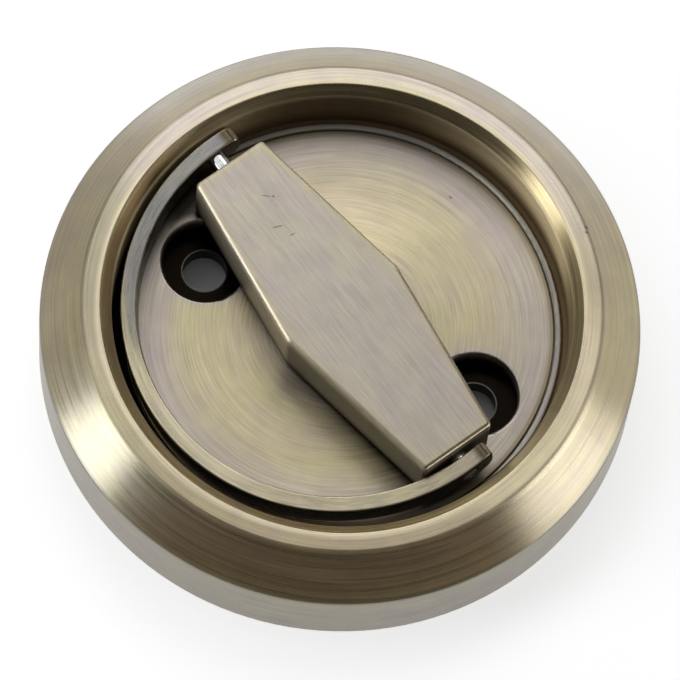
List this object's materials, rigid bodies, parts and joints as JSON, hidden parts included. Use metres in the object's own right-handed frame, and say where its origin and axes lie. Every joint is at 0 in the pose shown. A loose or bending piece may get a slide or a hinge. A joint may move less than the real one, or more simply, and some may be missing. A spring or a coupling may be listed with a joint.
{
  "type": "pocket door pull",
  "caption": "Round recessed door pull: a bevelled bezel round a sunk floor, a turn bar across it and a half ring that folds out of it.",
  "frame": {"origin": "centre of the back face, which lies on the door", "axes": "+Z out of the door, towards the hand; the two screw holes lie along X"},
  "size_m": [0.075, 0.075, 0.016],
  "materials": {
    "antique_brass_turned": "antique brass plate, turned and brushed round",
    "antique_brass_floor": "antique brass plate, brushed round its centre",
    "antique_brass_bar": "antique brass plate, brushed along its length",
    "antique_brass_ring": "antique brass plate, brushed round",
    "pin_steel": "bright ground steel",
    "zinc_plated_steel": "bright zinc plate",
    "screw_steel": "zinc plate",
    "spring_steel": "oiled spring steel",
    "bush_brass": "turned, bare",
    "black_nylon": "moulded"
  },
  "bodies": {
    "base": {"bezel_ring": "antique_brass_turned", "base_plate": "antique_brass_floor", "hub_bush": "bush_brass", "thrust_washer": "black_nylon", "bezel_screw_1": "screw_steel", "bezel_screw_2": "screw_steel", "bezel_screw_3": "screw_steel", "bezel_screw_4": "screw_steel"},
    "turn_handle": {"turn_bar": "antique_brass_bar", "drive_hub": "zinc_plated_steel", "hub_screw": "screw_steel", "wave_washer": "spring_steel", "back_washer": "zinc_plated_steel", "circlip": "spring_steel"},
    "ring": {"pull_ring": "antique_brass_ring", "pivot_pin_left": "pin_steel", "pivot_pin_right": "pin_steel"}
  },
  "joints": [
    {"name": "hub_turn", "type": "hinge", "parent": "base", "child": "turn_handle", "pos_m": [0, 0, 0], "axis": [0, 0, 1], "continuous": true},
    {"name": "ring_fold", "type": "hinge", "parent": "turn_handle", "child": "ring", "pos_m": [0, 0, 0.0126], "axis": [-0.9014, 0.4329, 0], "range_deg": [0, 190]}
  ]
}
